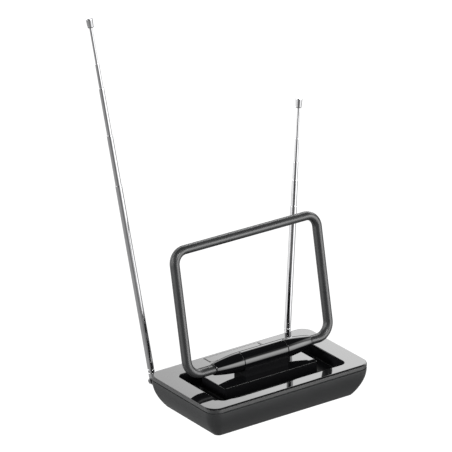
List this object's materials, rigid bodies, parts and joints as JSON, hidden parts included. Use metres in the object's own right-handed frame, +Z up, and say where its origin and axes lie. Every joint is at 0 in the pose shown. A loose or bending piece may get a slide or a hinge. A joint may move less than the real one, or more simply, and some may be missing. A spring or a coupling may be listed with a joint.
{
  "type": "rabbit ears antenna",
  "caption": "Indoor television antenna with a boat-shaped base, a tilting UHF loop on a barrel hinge and telescopic rods that swivel and tilt behind it.",
  "frame": {"origin": "under the middle of the base, below the hinge barrel's axis, on the face the feet stand on", "axes": "+X to the right along the barrel, +Y to the back where the rods are, +Z up"},
  "size_m": [0.2638, 0.1288, 0.4289],
  "materials": {
    "shell_plastic": "fine satin-matte texture",
    "rim_plastic": "satin",
    "gloss_cover": "high gloss",
    "gloss_barrel": "high gloss",
    "loop_plastic": "satin",
    "chrome_tube": "mirror",
    "nickel_fitting": "satin black nickel",
    "zinc_steel": "zinc plated",
    "brass_bush": "turned",
    "aluminium_wire": "drawn",
    "nylon_washer": "black nylon",
    "rubber_foot": "matte",
    "board_laminate": "solder mask",
    "ferrite": "sintered",
    "ceramic_part": "dipped ceramic"
  },
  "bodies": {
    "base": {"base_shell": "shell_plastic", "rim_frame": "rim_plastic", "top_cover": "gloss_cover", "rear_hatch": "gloss_cover", "pivot_pedestal": "gloss_barrel", "rubber_feet": "rubber_foot", "case_screws": "zinc_steel", "pedestal_screws": "zinc_steel", "ballast_plate": "zinc_steel", "ballast_screws": "zinc_steel", "circuit_board": "board_laminate", "board_screws": "zinc_steel", "balun_core": "ferrite", "capacitors": "ceramic_part", "coax_socket": "nickel_fitting", "coax_nut": "nickel_fitting", "left_pivot_bush": "brass_bush", "right_pivot_bush": "brass_bush"},
    "loop": {"loop_front_shell": "loop_plastic", "loop_rear_shell": "loop_plastic", "loop_element": "aluminium_wire", "pivot_shaft": "zinc_steel", "left_end_cap": "gloss_barrel", "right_end_cap": "gloss_barrel", "left_friction_washer": "nylon_washer", "right_friction_washer": "nylon_washer"},
    "left_swivel": {"left_swivel_hub": "nickel_fitting", "left_swivel_nut": "zinc_steel", "left_wave_washer": "zinc_steel", "left_hinge_pin": "nickel_fitting"},
    "left_rod_base": {"left_rod_foot": "nickel_fitting", "left_tube_1": "chrome_tube"},
    "left_section_2": {"left_tube_2": "chrome_tube", "left_bush_2": "brass_bush"},
    "left_section_3": {"left_tube_3": "chrome_tube", "left_bush_3": "brass_bush"},
    "left_section_4": {"left_tube_4": "chrome_tube", "left_bush_4": "brass_bush"},
    "left_section_5": {"left_inner_rod": "chrome_tube", "left_bush_5": "brass_bush", "left_tip": "chrome_tube"},
    "right_swivel": {"right_swivel_hub": "nickel_fitting", "right_swivel_nut": "zinc_steel", "right_wave_washer": "zinc_steel", "right_hinge_pin": "nickel_fitting"},
    "right_rod_base": {"right_rod_foot": "nickel_fitting", "right_tube_1": "chrome_tube"},
    "right_section_2": {"right_tube_2": "chrome_tube", "right_bush_2": "brass_bush"},
    "right_section_3": {"right_tube_3": "chrome_tube", "right_bush_3": "brass_bush"},
    "right_section_4": {"right_tube_4": "chrome_tube", "right_bush_4": "brass_bush"},
    "right_section_5": {"right_inner_rod": "chrome_tube", "right_bush_5": "brass_bush", "right_tip": "chrome_tube"}
  },
  "joints": [
    {"name": "loop_tilt", "type": "hinge", "parent": "base", "child": "loop", "pos_m": [0.002, 0, 0.05], "axis": [1, 0, 0], "range_deg": [-12, 101.5]},
    {"name": "left_swivel", "type": "hinge", "parent": "base", "child": "left_swivel", "pos_m": [-0.0854, 0.0683, 0.0201], "axis": [0, -1, 0], "range_deg": [-20.1, 79.9]},
    {"name": "left_tilt", "type": "hinge", "parent": "left_swivel", "child": "left_rod_base", "pos_m": [-0.0854, 0.0683, 0.0201], "axis": [-0.9845, 0, -0.1754], "range_deg": [0, 90]},
    {"name": "left_slide_2", "type": "slide", "parent": "left_rod_base", "child": "left_section_2", "axis": [-0.1754, 0, 0.9845], "range_m": [-0.055, 0.1468]},
    {"name": "left_slide_3", "type": "slide", "parent": "left_section_2", "child": "left_section_3", "axis": [-0.1754, 0, 0.9845], "range_m": [-0.0507, 0.1531]},
    {"name": "left_slide_4", "type": "slide", "parent": "left_section_3", "child": "left_section_4", "axis": [-0.1754, 0, 0.9845], "range_m": [-0.025, 0.1808]},
    {"name": "left_slide_5", "type": "slide", "parent": "left_section_4", "child": "left_section_5", "axis": [-0.1754, 0, 0.9845], "range_m": [-0.0378, 0.17]},
    {"name": "right_swivel", "type": "hinge", "parent": "base", "child": "right_swivel", "pos_m": [0.0854, 0.0683, 0.0201], "axis": [0, 1, 0], "range_deg": [-12.9, 87.1]},
    {"name": "right_tilt", "type": "hinge", "parent": "right_swivel", "child": "right_rod_base", "pos_m": [0.0854, 0.0683, 0.0201], "axis": [-0.9987, 0, 0.0506], "range_deg": [0, 90]},
    {"name": "right_slide_2", "type": "slide", "parent": "right_rod_base", "child": "right_section_2", "axis": [0.0506, 0, 0.9987], "range_m": [-0.0268, 0.0973]},
    {"name": "right_slide_3", "type": "slide", "parent": "right_section_2", "child": "right_section_3", "axis": [0.0506, 0, 0.9987], "range_m": [-0.0177, 0.1084]},
    {"name": "right_slide_4", "type": "slide", "parent": "right_section_3", "child": "right_section_4", "axis": [0.0506, 0, 0.9987], "range_m": [-0.0238, 0.1043]},
    {"name": "right_slide_5", "type": "slide", "parent": "right_section_4", "child": "right_section_5", "axis": [0.0506, 0, 0.9987], "range_m": [-0.031, 0.0991]}
  ]
}
